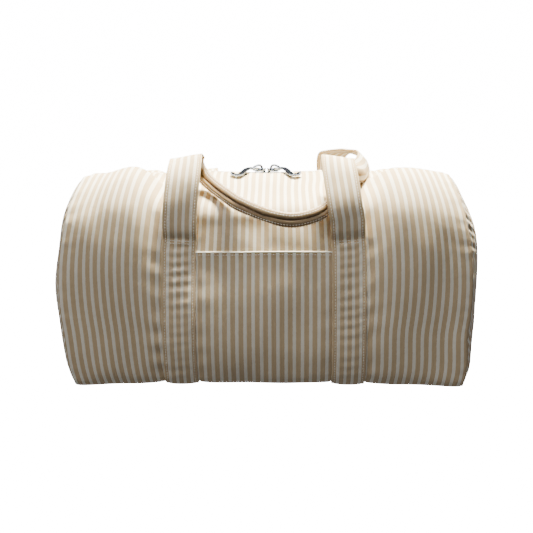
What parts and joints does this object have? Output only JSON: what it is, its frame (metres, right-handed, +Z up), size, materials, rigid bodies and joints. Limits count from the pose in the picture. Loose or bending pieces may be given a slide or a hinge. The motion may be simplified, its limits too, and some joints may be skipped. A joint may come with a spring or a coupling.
{
  "type": "weekender bag",
  "caption": "Soft duffel-style weekender bag in striped cloth with domed ends, ridge zipper, slip pocket and strap handles.",
  "frame": {"origin": "centre of the flat base, on the surface that the bag stands on", "axes": "+X along the bag, to the right seen from the front; front faces -Y; +Z up"},
  "size_m": [0.508, 0.246, 0.2711],
  "materials": {
    "stripe_cloth": "coated nylon with woven tan and off-white stripes, satin",
    "pocket_cloth": "coated nylon with the same stripes, satin",
    "strap_cloth": "doubled striped nylon, edge stitched, satin",
    "lining_cloth": "plain woven lining, matt",
    "zipper_tape": "herringbone tape, matt",
    "zipper_coil": "dyed nylon coil",
    "binding_tape": "grosgrain binding, matt",
    "board": "stiff sheet, fine grain",
    "nickel": "bright nickel plate"
  },
  "bodies": {
    "bag": {"front_panel": "stripe_cloth", "back_panel": "stripe_cloth", "bottom_panel": "stripe_cloth", "left_end_panel": "stripe_cloth", "right_end_panel": "stripe_cloth", "front_pocket": "pocket_cloth", "front_left_strap": "strap_cloth", "front_right_strap": "strap_cloth", "back_left_strap": "strap_cloth", "back_right_strap": "strap_cloth", "zipper_tape_front": "zipper_tape", "zipper_tape_back": "zipper_tape", "zipper_coil_front": "zipper_coil", "zipper_coil_back": "zipper_coil", "lining_front": "lining_cloth", "lining_back": "lining_cloth", "lining_bottom": "lining_cloth", "lining_left_end": "lining_cloth", "lining_right_end": "lining_cloth", "left_seam_binding": "binding_tape", "right_seam_binding": "binding_tape", "base_board": "board"},
    "front_handle": {"front_handle_left_riser": "strap_cloth", "front_handle_right_riser": "strap_cloth", "front_handle_grip": "strap_cloth"},
    "back_handle": {"back_handle_left_riser": "strap_cloth", "back_handle_right_riser": "strap_cloth", "back_handle_grip": "strap_cloth"},
    "left_slider": {"left_slider": "nickel"},
    "right_slider": {"right_slider": "nickel"},
    "left_pull": {"left_pull": "nickel"},
    "right_pull": {"right_pull": "nickel"}
  },
  "joints": [
    {"name": "front_handle_swing", "type": "hinge", "parent": "bag", "child": "front_handle", "pos_m": [0, -0.10533, 0.168], "axis": [1, 0, 0], "range_deg": [0, 120]},
    {"name": "back_handle_swing", "type": "hinge", "parent": "bag", "child": "back_handle", "pos_m": [0, 0.10533, 0.168], "axis": [-1, 0, 0], "range_deg": [0, 120]},
    {"name": "left_slider_travel", "type": "slide", "parent": "bag", "child": "left_slider", "axis": [-1, 0, 0], "range_m": [0, 0.185]},
    {"name": "right_slider_travel", "type": "slide", "parent": "bag", "child": "right_slider", "axis": [1, 0, 0], "range_m": [0, 0.185]},
    {"name": "left_pull_swing", "type": "hinge", "parent": "left_slider", "child": "left_pull", "pos_m": [-0.0104, 0, 0.2463], "axis": [-0.4226, 0.9063, 0], "range_deg": [0, 100]},
    {"name": "right_pull_swing", "type": "hinge", "parent": "right_slider", "child": "right_pull", "pos_m": [0.0104, 0, 0.2463], "axis": [-0.4226, -0.9063, 0], "range_deg": [0, 100]}
  ]
}
